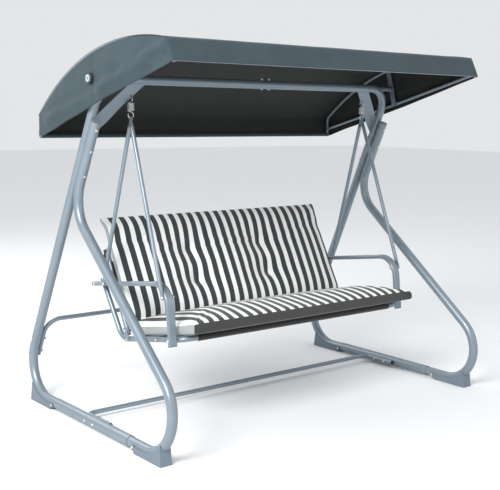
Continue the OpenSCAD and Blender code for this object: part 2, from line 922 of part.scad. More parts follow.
// Direction of the cover's front edge, upwards, and the way into the canopy from it
front_up = (cover_front_top - cover_front_low) / norm(cover_front_top - cover_front_low);
front_in = [front_up[1], -front_up[0]];
arch_turn = (arch_rear_a - arch_front_a) / 2;
arch_start = on_arc(arch_r, arch_front_a);
arch_end = on_arc(arch_r, arch_rear_a);
arch_line = [
    cover_front_low + front_in * arch_inset + front_up * 4,
    arch_start + [-cos(arch_front_a), sin(arch_front_a)] * 25.6,
    cover_arc + arch_r / cos(arch_turn) * [sin(arch_front_a + arch_turn),
        cos(arch_front_a + arch_turn)],
    arch_end + [cos(arch_rear_a), -sin(arch_rear_a)] * (arch_rear_y - arch_end[0])
        / cos(arch_rear_a),
    [arch_rear_y, rear_tube_z]
];

function arch_x(y) = arch_front_x
    + (arch_rear_x - arch_front_x) * (y - front_tube[0]) / (arch_rear_y - front_tube[0]);

// Line of the arch over the right side
function arch_points() = [for (p = arch_line) [arch_x(p[0]), p[0], p[1]]];

module arch_path() {
    run(arch_points(), [0, arch_corner_r, arch_r, arch_corner_r, 0])
        children();
}

module arch_solid() {
    arch_path()
        disc(pole_d + 0.1);
}

module canopy_arch() {
    color(frame_grey)
        difference() {
            arch_path()
                ring(pole_d, pole_d - 2 * thin_wall);
            rod([0, arch_rear_y, rear_tube_z], [1, 0, 0], pole_d + 0.1, 0, 1000);
        }
}

function rail_point(x, y) = [x, y, rail_through[1] + rail_slope * (y - rail_through[0])];

module canopy_rail() {
    color(frame_grey)
        difference() {
            tube([rail_point(arch_front_x, front_tube[0] + 2), rail_point(rail_x, rail_through[0]),
                rail_point(arch_rear_x, arch_rear_y - 2)], rail_bend_r, pole_d, thin_wall);
            arch_solid();
        }
}

// Flat bar that turns on the stud, between the canopy's rail and its arch
module pivot_bar() {
    up = unit([0, -rail_slope, 1]);
    drop = up * ([0, 0, bar_z] - rail_point(0, rail_through[0]));
    centre = [0, cover_arc[0], cover_arc[1] - bar_z];
    rise = up * centre + sqrt(pow(up * centre, 2) - centre * centre + arch_r * arch_r);
    color(frame_grey)
        difference() {
            place([rail_x - pole_d / 2 - bar_t, 0, bar_z], cross(up, [1, 0, 0]), up, [1, 0, 0])
                linear_extrude(bar_t - 0.1)
                    difference() {
                        translate([-bar_w / 2, -drop - pole_d / 2])
                            square([bar_w, drop + pole_d / 2 + rise - 2]);
                        circle(d = stud_hole);
                    }
            arch_solid();
        }
}

module canopy_rear_tube() {
    color(frame_grey)
        run([[-rear_tube_x, arch_rear_y, rear_tube_z], [rear_tube_x, arch_rear_y, rear_tube_z]], 0)
            ring(pole_d, pole_d - 2 * thin_wall);
}

module canopy_cross_tube(p) {
    x = arch_x(p[0]) - 5;
    color(frame_grey)
        difference() {
            run([[-x, p[0], p[1]], [x, p[0], p[1]]], 0)
                ring(pole_d, pole_d - 2 * thin_wall);
            both_sides()
                arch_solid();
        }
}

module canopy_caps_right() {
    tube_plug([rear_tube_x, arch_rear_y, rear_tube_z], [1, 0, 0], pole_d, thin_wall);
    tube_plug(arch_points()[0], arch_points()[0] - arch_points()[1], pole_d, thin_wall);
}

// Side view of the cover, moved in by its thickness; drop lengthens its open underside
module cover_side(inset, drop) {
    low = cover_front_low + front_in * inset;
    intersection() {
        translate(cover_arc)
            circle(r = cover_r - inset, $fn = 180);
        polygon([[cover_rear_y - inset, cover_rear_z - drop],
            [cover_rear_y - inset, cover_top + 20], low + front_up * 150, low - front_up * drop]);
    }
}

module canopy_cover() {
    half = cover_w / 2;
    color(slate)
        difference() {
            place([-half, 0, 0], [0, 1, 0], [0, 0, 1], [1, 0, 0])
                linear_extrude(cover_w)
                    cover_side(0, 0);
            place([-half + cover_t, 0, 0], [0, 1, 0], [0, 0, 1], [1, 0, 0])
                linear_extrude(cover_w - 2 * cover_t)
                    cover_side(cover_t, 60);
            rod([0, 0, bar_z], [1, 0, 0], 12, half + 1, half + 1);
        }
}

module knob() {
    color(cap_grey) {
        rod([stud_x, 0, bar_z], [1, 0, 0], stud_d, 0, knob_x - stud_x + 1);
        place([knob_x, 0, bar_z], [0, 1, 0], [0, 0, 1], [1, 0, 0]) {
            linear_extrude(knob_t)
                difference() {
                    circle(d = knob_d);
                    for (i = [0:knob_flutes - 1])
                        rotate(i * 360 / knob_flutes)
                            translate([knob_d / 2 + 1.5, 0])
                                circle(d = 6);
                }
            cylinder(h = knob_t + knob_hub_t, d = knob_d * 0.72);
        }
    }
}

// ---------------------------------------------------------------- nodes

left() rear_leg();  // rear_leg_left
rear_leg();  // rear_leg_right
left() front_leg();  // front_leg_left
front_leg();  // front_leg_right
left() rail_sleeve();  // rail_sleeve_left
rail_sleeve();  // rail_sleeve_right
left() foot(1);  // rear_foot_left
foot(1);  // rear_foot_right
left() foot(-1);  // front_foot_left
foot(-1);  // front_foot_right
crossbar_left_half();  // crossbar_left
crossbar_half(crossbar_joint_x + 0.3, false);  // crossbar_right
left() brace();  // brace_left
brace();  // brace_right
left() stretcher_half(low_line, low_stretcher_r, true);  // low_stretcher_left
stretcher_half(low_line, low_stretcher_r, false);  // low_stretcher_right
left() stretcher_half(rear_line, rear_stretcher_r, true);  // rear_stretcher_left
stretcher_half(rear_line, rear_stretcher_r, false);  // rear_stretcher_right
color(black) both_sides() stand_plugs_right();  // stand_plugs
color(steel) both_sides() leg_bolts_right();  // leg_bolts
color(steel) both_sides() foot_bolts_right();  // foot_bolts
color(steel) stretcher_bolts();
color(steel) crossbar_bolts();
left() spring();  // spring_left
spring();  // spring_right
left() hanger(hanger_gap, front_hanger_foot);  // front_hanger_left
hanger(hanger_gap, front_hanger_foot);  // front_hanger_right
left() hanger(-hanger_gap, rear_hanger_foot);  // rear_hanger_left
hanger(-hanger_gap, rear_hanger_foot);  // rear_hanger_right
left() seat_tube(true);  // seat_tube_left
seat_tube(false);  // seat_tube_right
left() back_tube(true);  // back_tube_left
back_tube(false);  // back_tube_right
cross_rail(cross_rail_y[0]);  // rear_cross_rail
cross_rail(cross_rail_y[1]);  // middle_cross_rail
color(frame_grey) both_sides() back_bracket();  // back_brackets
left() armrest();  // armrest_left
armrest();  // armrest_right
color(black) both_sides() seat_plugs_right();  // seat_plugs
color(steel) both_sides() hanger_bolts_right();  // hanger_bolts
color(steel) both_sides() seat_bolts_right();  // seat_bolts
seat_sling();
back_sling();
seat_cushion();
back_cushion();
left() canopy_rail();  // canopy_rail_left
canopy_rail();  // canopy_rail_right
left() canopy_arch();  // canopy_arch_left
canopy_arch();  // canopy_arch_right
left() pivot_bar();  // pivot_bar_left
pivot_bar();  // pivot_bar_right
canopy_rear_tube();
canopy_cross_tube(top_tube);  // canopy_top_tube
canopy_cross_tube(front_tube);  // canopy_front_tube
color(black) both_sides() canopy_caps_right();  // canopy_caps
canopy_cover();
left() knob();  // knob_left
knob();  // knob_right
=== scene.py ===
"""Canopy swing bench: soft goods, materials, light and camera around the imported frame."""
import bpy
import json
import math
from mathutils import Vector, Matrix, noise

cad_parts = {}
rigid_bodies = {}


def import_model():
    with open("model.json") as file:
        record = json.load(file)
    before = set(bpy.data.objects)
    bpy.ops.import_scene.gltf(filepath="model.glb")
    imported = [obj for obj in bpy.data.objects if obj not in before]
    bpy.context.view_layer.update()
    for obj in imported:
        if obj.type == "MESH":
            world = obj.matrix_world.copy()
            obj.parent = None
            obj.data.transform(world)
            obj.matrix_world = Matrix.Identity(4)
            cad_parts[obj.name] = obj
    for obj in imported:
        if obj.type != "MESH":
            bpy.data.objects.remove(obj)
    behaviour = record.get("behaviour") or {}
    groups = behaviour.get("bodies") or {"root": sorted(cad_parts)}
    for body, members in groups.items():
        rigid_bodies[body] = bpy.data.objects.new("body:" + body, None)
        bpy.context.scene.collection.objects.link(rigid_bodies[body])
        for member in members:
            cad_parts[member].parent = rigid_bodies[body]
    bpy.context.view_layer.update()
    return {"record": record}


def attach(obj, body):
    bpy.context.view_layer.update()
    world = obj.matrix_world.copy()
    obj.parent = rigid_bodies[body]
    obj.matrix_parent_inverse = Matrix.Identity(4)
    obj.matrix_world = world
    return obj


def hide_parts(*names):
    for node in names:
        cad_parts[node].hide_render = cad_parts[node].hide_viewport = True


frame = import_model()

KNOB_Z = 1.55816  # height of the canopy's studs, which lie at y = 0

# ------------------------------------------------------------------ camera and light

CAMERA_AT = Vector((-2.9876, -3.6456, 1.4085))
CAMERA_YAW, CAMERA_PITCH, CAMERA_ROLL = 38.74, -7.8, 0.63
FLOOR_HALF = 30


def make_camera():
    yaw, pitch, roll = (math.radians(turn) for turn in (CAMERA_YAW, CAMERA_PITCH, CAMERA_ROLL))
    ahead = Vector((math.sin(yaw) * math.cos(pitch), math.cos(yaw) * math.cos(pitch), math.sin(pitch)))
    right = Vector((math.cos(yaw), -math.sin(yaw), 0))
    up = right.cross(ahead)
    right, up = (math.cos(roll) * right + math.sin(roll) * up,
                 math.cos(roll) * up - math.sin(roll) * right)
    data = bpy.data.cameras.new("camera")
    data.lens = 68.19
    data.sensor_width = 36
    data.clip_end = 200
    cam = bpy.data.objects.new("camera", data)
    cam.matrix_world = Matrix.Translation(CAMERA_AT) @ Matrix((right, up, -ahead)).transposed().to_4x4()
    bpy.context.collection.objects.link(cam)
    bpy.context.scene.camera = cam


def area_light(name, at, target, size, power):
    data = bpy.data.lights.new(name, "AREA")
    data.size = size
    data.energy = power
    lamp = bpy.data.objects.new(name, data)
    lamp.location = at
    lamp.rotation_euler = (Vector(target) - Vector(at)).to_track_quat("-Z", "Y").to_euler()
    bpy.context.collection.objects.link(lamp)


def make_stage():
    world = bpy.data.worlds.new("studio")
    bpy.context.scene.world = world
    world.use_nodes = True
    sky = world.node_tree.nodes["Background"]
    sky.inputs["Color"].default_value = (0.97, 0.985, 1, 1)
    sky.inputs["Strength"].default_value = 0.8
    bpy.context.scene.view_settings.view_transform = "Standard"
    area_light("key", (-5.2, -2.2, 4.2), (0, 0, 0.8), 2.6, 420)
    area_light("fill", (3.0, -6.0, 3.2), (0, 0, 0.7), 4.0, 45)
    area_light("back", (-1.0, 5.0, 4.0), (0, 0, 0.9), 3.0, 90)
    mesh = bpy.data.meshes.new("floor")
    corners = [(x * FLOOR_HALF, y * FLOOR_HALF, 0) for x, y in ((-1, -1), (1, -1), (1, 1), (-1, 1))]
    mesh.from_pydata(corners, [], [(0, 1, 2, 3)])
    floor = bpy.data.objects.new("floor", mesh)
    bpy.context.collection.objects.link(floor)
    mat, _, _, shader = new_material("pale_floor")
    shader.inputs["Base Color"].default_value = (0.86, 0.87, 0.88, 1)
    shader.inputs["Roughness"].default_value = 0.9
    mesh.materials.append(mat)

# ------------------------------------------------------------------ materials

def new_material(name):
    mat = bpy.data.materials.new(name)
    mat.use_nodes = True
    nodes, links = mat.node_tree.nodes, mat.node_tree.links
    return mat, nodes, links, nodes["Principled BSDF"]


def coords(nodes):
    return nodes.new("ShaderNodeTexCoord").outputs["Object"]


def split_vector(nodes, links, vector):
    node = nodes.new("ShaderNodeSeparateXYZ")
    links.new(vector, node.inputs[0])
    return node.outputs


def cloth_coords(nodes):
    """The place on the flat cloth, which add_piece stores with each vertex."""
    node = nodes.new("ShaderNodeAttribute")
    node.attribute_name = "cloth"
    return node.outputs["Vector"]


def noise_tex(nodes, links, vector, scale, detail=3, rough=0.5):
    tex = nodes.new("ShaderNodeTexNoise")
    tex.inputs["Scale"].default_value = scale
    tex.inputs["Detail"].default_value = detail
    tex.inputs["Roughness"].default_value = rough
    links.new(vector, tex.inputs["Vector"])
    return tex.outputs["Fac"]


def ramp(nodes, links, fac, stops):
    """Each stop is a place and a colour, or a place and one grey value."""
    node = nodes.new("ShaderNodeValToRGB")
    while len(node.color_ramp.elements) < len(stops):
        node.color_ramp.elements.new(0.5)
    for element, (at, colour) in zip(node.color_ramp.elements, stops):
        element.position = at
        element.color = (*colour, 1) if len(colour) == 3 else (colour[0],) * 3 + (1,)
    links.new(fac, node.inputs["Fac"])
    return node.outputs["Color"]


def math_node(nodes, links, kind, *values):
    node = nodes.new("ShaderNodeMath")
    node.operation = kind
    for slot, value in zip(node.inputs, values):
        if isinstance(value, (int, float)):
            slot.default_value = value
        else:
            links.new(value, slot)
    return node.outputs[0]


def mix_colour(nodes, links, fac, a, b, kind="MIX"):
    node = nodes.new("ShaderNodeMix")
    node.data_type = "RGBA"
    node.blend_type = kind
    for slot, value in ((node.inputs[0], fac), (node.inputs[6], a), (node.inputs[7], b)):
        if isinstance(value, (int, float)):
            slot.default_value = value
        elif isinstance(value, tuple):
            slot.default_value = (*value, 1)
        else:
            links.new(value, slot)
    return node.outputs[2]


def multiplied(nodes, links, colour, shade, shader):
    """The colour times the shade becomes the shader's base colour."""
    product = mix_colour(nodes, links, 1.0, colour, shade, "MULTIPLY")
    links.new(product, shader.inputs["Base Color"])


def bump(nodes, links, shader, height, strength, distance):
    node = nodes.new("ShaderNodeBump")
    node.inputs["Strength"].default_value = strength
    node.inputs["Distance"].default_value = distance
    links.new(height, node.inputs["Height"])
    links.new(node.outputs["Normal"], shader.inputs["Normal"])


def paint(name, light, dark, rough, metal, grain, grain_depth):
    """Powder coat or moulded plastic: slow colour drift, fine orange peel, uneven gloss."""
    mat, nodes, links, shader = new_material(name)
    where = coords(nodes)
    drift = noise_tex(nodes, links, where, 4.0, 4)
    colour = ramp(nodes, links, drift, [(0.3, dark), (0.7, light)])
    fine = noise_tex(nodes, links, where, grain, 2)
    speck = ramp(nodes, links, fine, [(0.35, (0.94,)), (0.65, (1.04,))])
    multiplied(nodes, links, colour, speck, shader)
    patches = noise_tex(nodes, links, where, 14, 3)
    gloss = ramp(nodes, links, patches, [(0.3, (rough - 0.05,)), (0.7, (rough + 0.07,))])
    links.new(gloss, shader.inputs["Roughness"])
    shader.inputs["Metallic"].default_value = metal
    bump(nodes, links, shader, fine, 0.35, grain_depth)
    return mat


def weave_height(nodes, links, vector, pitch):
    """Plain weave: two crossing sets of threads."""
    across, along, _ = split_vector(nodes, links, vector)
    k = math.pi / pitch
    waves = [math_node(nodes, links, "SINE", math_node(nodes, links, "MULTIPLY", v, k))
             for v in (across, along)]
    return math_node(nodes, links, "MULTIPLY_ADD", math_node(nodes, links, "MULTIPLY", *waves), 0.5, 0.5)


def cloth_material(name, dark, light, weave, depth, rough=0.88, sheen=0.25):
    """Plain woven cloth: slow colour drift, threads of the given pitch and depth."""
    mat, nodes, links, shader = new_material(name)
    drift = noise_tex(nodes, links, coords(nodes), 7, 4)
    colour = ramp(nodes, links, drift, [(0.3, dark), (0.7, light)])
    height = weave_height(nodes, links, cloth_coords(nodes), weave)
    shade = ramp(nodes, links, height, [(0.0, (0.86,)), (1.0, (1.06,))])
    multiplied(nodes, links, colour, shade, shader)
    shader.inputs["Roughness"].default_value = rough
    shader.inputs["Sheen Weight"].default_value = sheen
    shader.inputs["Sheen Roughness"].default_value = 0.5
    bump(nodes, links, shader, height, 0.5, depth)
    return mat


LIGHT_YARN, DARK_YARN = (0.90, 0.93, 0.91), (0.030, 0.039, 0.042)
DARK_SHARE = 0.54


def dimmed(colour, factor):
    return tuple(v * factor for v in colour)


def stripe_material(name, first, period):
    """Woven stripes across X: first is the middle of a dark stripe."""
    mat, nodes, links, shader = new_material(name)
    cloth = cloth_coords(nodes)
    across, _, _ = split_vector(nodes, links, cloth)
    phase = math_node(nodes, links, "DIVIDE", math_node(nodes, links, "SUBTRACT", across, first), period)
    place = math_node(nodes, links, "PINGPONG", phase, 0.5)
    dark_here = math_node(nodes, links, "LESS_THAN", place, DARK_SHARE / 2)
    mottled = noise_tex(nodes, links, coords(nodes), 60, 4, 0.6)
    dark = ramp(nodes, links, mottled, [(0.3, dimmed(DARK_YARN, 0.86)), (0.7, dimmed(DARK_YARN, 1.12))])
    light = ramp(nodes, links, mottled, [(0.3, dimmed(LIGHT_YARN, 0.96)), (0.7, LIGHT_YARN)])
    colour = mix_colour(nodes, links, dark_here, light, dark)
    height = weave_height(nodes, links, cloth, 0.0014)
    shade = ramp(nodes, links, height, [(0.0, (0.9,)), (1.0, (1.03,))])
    multiplied(nodes, links, colour, shade, shader)
    shader.inputs["Roughness"].default_value = 0.85
    shader.inputs["Sheen Weight"].default_value = 0.2
    bump(nodes, links, shader, height, 0.5, 0.0002)
    return mat


def zinc(name):
    """Galvanised steel: small crystals of two greys, uneven gloss."""
    mat, nodes, links, shader = new_material(name)
    where = coords(nodes)
    cells = nodes.new("ShaderNodeTexVoronoi")
    cells.inputs["Scale"].default_value = 260
    links.new(where, cells.inputs["Vector"])
    crystals = ramp(nodes, links, cells.outputs["Distance"],
                    [(0.0, (0.5, 0.51, 0.52)), (0.8, (0.66, 0.66, 0.65))])
    links.new(crystals, shader.inputs["Base Color"])
    gloss = ramp(nodes, links, noise_tex(nodes, links, where, 120, 3), [(0.3, (0.28,)), (0.7, (0.45,))])
    links.new(gloss, shader.inputs["Roughness"])
    shader.inputs["Metallic"].default_value = 0.9
    bump(nodes, links, shader, cells.outputs["Distance"], 0.15, 0.0001)
    return mat


def moulded_speck(nodes, links, where):
    """Fine grain of moulded plastic: its height, and the shade that goes with it."""
    fine = noise_tex(nodes, links, where, 420, 2)
    return fine, ramp(nodes, links, fine, [(0.35, (0.92,)), (0.65, (1.05,))])


KNOB_SPAN = 0.025
KNOB_RINGS = [  # places from the axis, as parts of KNOB_SPAN
    (0.0, (0.12, 0.20, 0.30)), (0.26, (0.16, 0.24, 0.33)),
    (0.34, (0.42, 0.47, 0.50)), (0.64, (0.36, 0.41, 0.44)), (0.69, (0.030, 0.034, 0.038))]


def knob_material():
    """Pale grey face with a bluish middle inside a dark gripping rim, by distance from the knob's axis."""
    mat, nodes, links, shader = new_material("knob_plastic")
    where = coords(nodes)
    _, y, z = split_vector(nodes, links, where)
    up = math_node(nodes, links, "SUBTRACT", z, KNOB_Z)
    squares = [math_node(nodes, links, "MULTIPLY", v, v) for v in (y, up)]
    r = math_node(nodes, links, "POWER", math_node(nodes, links, "ADD", *squares), 0.5)
    face = ramp(nodes, links, math_node(nodes, links, "MULTIPLY", r, 1 / KNOB_SPAN), KNOB_RINGS)
    fine, speck = moulded_speck(nodes, links, where)
    multiplied(nodes, links, face, speck, shader)
    shader.inputs["Roughness"].default_value = 0.45
    bump(nodes, links, shader, fine, 0.3, 0.0002)
    return mat


LEG_TOPS_ABOVE = 1.2


def plug_material(low, high):
    """Dark plugs in the stretchers; caps in the frame's grey in the tops of the legs."""
    mat, nodes, links, shader = new_material("plug_plastic")
    where = coords(nodes)
    _, _, z = split_vector(nodes, links, where)
    upper = math_node(nodes, links, "GREATER_THAN", z, LEG_TOPS_ABOVE)
    fine, speck = moulded_speck(nodes, links, where)
    colour = mix_colour(nodes, links, upper, low, high)
    multiplied(nodes, links, colour, speck, shader)
    shader.inputs["Roughness"].default_value = 0.5
    bump(nodes, links, shader, fine, 0.3, 0.0002)
    return mat


FRAME = paint("painted_tube", (0.235, 0.285, 0.325), (0.205, 0.253, 0.293), 0.33, 0.35, 700, 0.00006)
FOOT = paint("foot_plastic", (0.155, 0.195, 0.235), (0.135, 0.172, 0.210), 0.5, 0.0, 420, 0.0002)
PLUG = plug_material((0.018, 0.020, 0.022), (0.17, 0.20, 0.23))
KNOB = knob_material()
ZINC = zinc("galvanised_steel")
CANOPY = cloth_material("canopy_cloth", (0.027, 0.047, 0.058), (0.034, 0.057, 0.069), 0.0012, 0.00015,
                        sheen=0.06)
# painted shade: a near-black copy of the canopy cloth for the sheet's underside, standing in for the shade
# under the canopy
UNDERSIDE_SHADE = cloth_material("canopy_underside_painted_shade", (0.011, 0.013, 0.013), (0.015, 0.016, 0.015), 0.0012, 0.00015,
                        sheen=0.03)
SLING = cloth_material("sling_mesh", (0.005, 0.0055, 0.006), (0.008, 0.0085, 0.009), 0.0028, 0.0006, 0.7)
STRIPES = stripe_material("striped_canvas_seat", -0.642, 0.0557)
BACK_STRIPES = stripe_material("striped_canvas_back", -0.6435, 0.0576)
BAND = cloth_material("band_canvas", (0.026, 0.027, 0.024), (0.032, 0.033, 0.030), 0.0014, 0.0002)
# painted shade: the white canvas of the cushions' sides and the back's rear face, greyed to the shade they
# lie in
SHADED_SIDE_CANVAS = cloth_material("side_canvas_painted_shade", (0.30, 0.325, 0.315), (0.37, 0.395, 0.385), 0.0014, 0.0002)
STRAP = cloth_material("strap_webbing", (0.02, 0.022, 0.024), (0.03, 0.032, 0.034), 0.0022, 0.0004, 0.8)

SLOT_LOOK = {
    "frame_paint": FRAME, "foot_plastic": FOOT, "plug_plastic": PLUG,
    "knob_plastic": KNOB, "galvanised": ZINC}
for part in frame["record"]["subparts"]:
    look = SLOT_LOOK.get(part["material_slot"])
    if look:
        shown = bpy.data.objects[part["node"]]
        for slot in shown.material_slots:
            slot.material = look

make_camera()
make_stage()

# ------------------------------------------------------------------ shared shapes

# The seat runs forwards from SEAT_AT, and the back upwards from BACK_AT.
SEAT_AT = Vector((0, 0.192, 0.341))
SEAT_DIR = Vector((0, -0.98381, 0.17923))
SEAT_UP = Vector((0, 0.17923, 0.98381))
BACK_AT = Vector((0, 0.139, 0.372))
BACK_DIR = Vector((0, 0.45515, 0.89041))
BACK_FRONT = Vector((0, -0.89041, 0.45515))


def on_seat(x, along, up):
    return SEAT_AT + SEAT_DIR * along + SEAT_UP * up + Vector((x, 0, 0))


def on_back(x, along, front):
    return BACK_AT + BACK_DIR * along + BACK_FRONT * front + Vector((x, 0, 0))


def add_piece(name, verts, faces, mats, face_mats=None, cloth=None):
    """cloth gives each vertex its place across and along the flat cloth."""
    mesh = bpy.data.meshes.new(name)
    mesh.from_pydata([tuple(v) for v in verts], [], faces)
    for m in mats:
        mesh.materials.append(m)
    if face_mats:
        mesh.polygons.foreach_set("material_index", face_mats)
    mesh.polygons.foreach_set("use_smooth", [True] * len(mesh.polygons))
    if cloth:
        attr = mesh.attributes.new("cloth", "FLOAT_VECTOR", "POINT")
        attr.data.foreach_set("vector", [c for across, along in cloth for c in (across, along, 0)])
    mesh.update()
    obj = bpy.data.objects.new(name, mesh)
    bpy.context.collection.objects.link(obj)
    return obj


def smoothstep(a, b, v):
    t = min(1.0, max(0.0, (v - a) / (b - a)))
    return t * t * (3 - 2 * t)


def lerp(a, b, t):
    return a + (b - a) * t


def curve_table(points):
    """A smooth function of one number through the given (place, value) points."""
    def value(t):
        if t <= points[0][0]:
            return points[0][1]
        for (t0, v0), (t1, v1) in zip(points, points[1:]):
            if t <= t1:
                return lerp(v0, v1, smoothstep(t0, t1, t))
        return points[-1][1]
    return value


def ring_faces(rings, sides, closed=False):
    """Faces of a tube of rings of vertices, with an end face on each end when it isn't closed."""
    faces = []
    for i in range(rings if closed else rings - 1):
        n = (i + 1) % rings
        for k in range(sides):
            m = (k + 1) % sides
            faces.append((i * sides + k, i * sides + m, n * sides + m, n * sides + k))
    if not closed:
        faces.append(tuple(range(sides - 1, -1, -1)))
        faces.append(tuple((rings - 1) * sides + k for k in range(sides)))
    return faces


def swept(name, path, half_sizes, mat, sides, closed=False):
    """Tube or flat band along a path; half_sizes are its two half widths."""
    verts, rings = [], len(path)
    up = Vector((0, 0, 1))
    ra, rb = half_sizes
    for i, p in enumerate(path):
        a = path[i - 1] if i or closed else path[0]
        b = path[(i + 1) % rings] if i < rings - 1 or closed else path[-1]
        t = (b - a).normalized()
        side = t.cross(up)
        if side.length < 0.1:
            side = t.cross(Vector((1, 0, 0)))
        side.normalize()
        if i:
            side = (last - t * last.dot(t)).normalized()
        last = side
        other = t.cross(side)
        for k in range(sides):
            ang = 2 * math.pi * k / sides
            verts.append(p + side * (ra * math.cos(ang)) + other * (rb * math.sin(ang)))
    return add_piece(name, verts, ring_faces(rings, sides, closed), [mat])

# ------------------------------------------------------------------ cushions

def block_grid(nx, ny, nz):
    """Surface of a grid of nx by ny by nz cells: keys, faces, and the side each face is on."""
    keys, index, faces, sides = [], {}, [], []

    def at(i, j, k):
        if (i, j, k) not in index:
            index[i, j, k] = len(keys)
            keys.append((i, j, k))
        return index[i, j, k]

    for j in range(ny):
        for i in range(nx):
            faces.append([at(i, j, 0), at(i, j + 1, 0), at(i + 1, j + 1, 0), at(i + 1, j, 0)])
            sides.append("bottom")
            faces.append([at(i, j, nz), at(i + 1, j, nz), at(i + 1, j + 1, nz), at(i, j + 1, nz)])
            sides.append("top")
    for k in range(nz):
        for i in range(nx):
            faces.append([at(i, 0, k), at(i + 1, 0, k), at(i + 1, 0, k + 1), at(i, 0, k + 1)])
            sides.append("rear")
            faces.append([at(i, ny, k), at(i, ny, k + 1), at(i + 1, ny, k + 1), at(i + 1, ny, k)])
            sides.append("front")
        for j in range(ny):
            faces.append([at(0, j, k), at(0, j, k + 1), at(0, j + 1, k + 1), at(0, j + 1, k)])
            sides.append("left")
            faces.append([at(nx, j, k), at(nx, j + 1, k), at(nx, j + 1, k + 1), at(nx, j, k + 1)])
            sides.append("right")
    return keys, faces, sides


SIM_PRESSURE = 4.0
SIM_CAP = 0.024
SIM_FRAMES = 20


def inflate(obj, pinned):
    """Cloth under pressure, held at its seams; no point moves further than SIM_CAP."""
    start = [v.co.copy() for v in obj.data.vertices]
    group = obj.vertex_groups.new(name="held")
    group.add(pinned, 1.0, "REPLACE")
    mod = obj.modifiers.new("cloth", "CLOTH")
    settings = mod.settings
    settings.quality = 6
    settings.mass = 0.25
    settings.tension_stiffness = settings.compression_stiffness = settings.shear_stiffness = 12
    settings.bending_stiffness = 0.6
    settings.use_pressure = True
    settings.uniform_pressure_force = SIM_PRESSURE
    settings.effector_weights.gravity = 0
    settings.vertex_group_mass = "held"
    mod.collision_settings.use_collision = False
    mod.point_cache.frame_start, mod.point_cache.frame_end = 1, SIM_FRAMES
    scene = bpy.context.scene
    for f in range(1, SIM_FRAMES + 1):
        scene.frame_set(f)
    shaped = obj.evaluated_get(bpy.context.evaluated_depsgraph_get()).data
    moved = [v.co.copy() for v in shaped.vertices]
    obj.modifiers.remove(mod)
    obj.vertex_groups.remove(group)
    for v, a, b in zip(obj.data.vertices, start, moved):
        step = b - a
        if step.length > SIM_CAP:
            step *= SIM_CAP / step.length
        v.co = a + step
    scene.frame_set(1)
    obj.data.update()


def subdivide(obj):
    mod = obj.modifiers.new("smooth", "SUBSURF")
    mod.levels = mod.render_levels = 1


def rest_on_frame(obj, origin, normal):
    """Lift what lies below the plane where the sling carries the cushion."""
    for v in obj.data.vertices:
        d = (v.co - origin).dot(normal)
        if d < CUSHION_REST:
            v.co += normal * (CUSHION_REST - d)


CUSHION_REST = 0.0152  # above the plane of the tubes' axes
SEAT_W = 0.676  # half the seat cushion's width
SEAT_PAD_REAR, SEAT_PAD_FRONT = 0.078, 0.606  # places along the seat
BACK_W = 0.681  # half the back cushion's width
# Places up the back; the channel is the head roll's crease.
BACK_LOW, CHANNEL, BACK_HIGH = 0.046, 0.448, 0.574
SEAT_CLOTH, BACK_CLOTH = 0.682, 0.684  # half widths of the flat cloth
SEAM_POWER = 26  # how short the corners are that a seam ends in
TUFT_XS, TUFT_ROWS = (-0.238, 0.226), (0.211, 0.385)
TUFTS = [(x, b) for x in TUFT_XS for b in TUFT_ROWS]


def over(s, power):
    """1 in the middle, falling to 0 at both edges; steeper at the edges for a higher power."""
    return max(0.0, 1 - abs(2 * s - 1) ** power) ** 0.55


def finish_cushion(obj, pinned, origin, normal, stands_for):
    inflate(obj, pinned)
    rest_on_frame(obj, origin, normal)
    subdivide(obj)
    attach(obj, "seat")
    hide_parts(stands_for)


def seat_cushion():
    nx, ny, nz = 120, 52, 4
    keys, faces, sides = block_grid(nx, ny, nz)
    under = curve_table([(0.0, 0.0185), (0.45, 0.0185), (0.612, 0.0235)])
    seam = curve_table([(0.0, 0.0540), (0.45, 0.0560), (0.612, 0.0670)])
    verts, cloth = [], []
    for i, j, k in keys:
        s, t, w = i / nx, j / ny, k / nz
        x = lerp(-SEAT_W, SEAT_W, s)
        a = lerp(SEAT_PAD_REAR, SEAT_PAD_FRONT, t)
        # edges draw in between the pointed corners
        corner = (1 - over(s, SEAM_POWER)) * smoothstep(0.93, 1.0, t)
        a += 0.014 * corner - 0.004 * smoothstep(0.9, 1.0, t)
        x *= 1 + 0.022 * corner * (1 - w * 0.3) - 0.004 * (1 - abs(2 * t - 1) ** 8)
        puff = math.sin(math.pi * w)
        x += (0.006 * puff * (1 if s > 0.5 else -1)) if i in (0, nx) else 0
        a += 0.006 * puff if j == ny else 0
        low = under(a) - 0.0045 * over(s, 8) * over(t, 8)
        uneven = 0.003 * noise.noise(Vector((x * 5, a * 6, 1)))
        crown = over(s, 18) * over(lerp(0.12, 1.0, t ** 1.15), 5) * (0.040 + uneven)
        high = seam(a) + crown
        verts.append(on_seat(x, a, lerp(low, high, w)))
        cloth.append((lerp(-SEAT_CLOTH, SEAT_CLOTH, s), a))
    # the seat's left and right sides take the grey of painted shade
    pick = {"top": 0, "bottom": 1, "rear": 1, "front": 1, "left": 2, "right": 2}
    # the seat's own directions mirror the grid's, so its faces are turned to look outwards
    faces = [list(reversed(f)) for f in faces]
    obj = add_piece("seat_pad", verts, faces, [STRIPES, BAND, SHADED_SIDE_CANVAS], [pick[s] for s in sides], cloth)
    held = [n for n, (i, j, k) in enumerate(keys) if k in (0, nz) and (i in (0, nx) or j in (0, ny))]
    finish_cushion(obj, held, SEAT_AT, SEAT_UP, "seat_cushion")


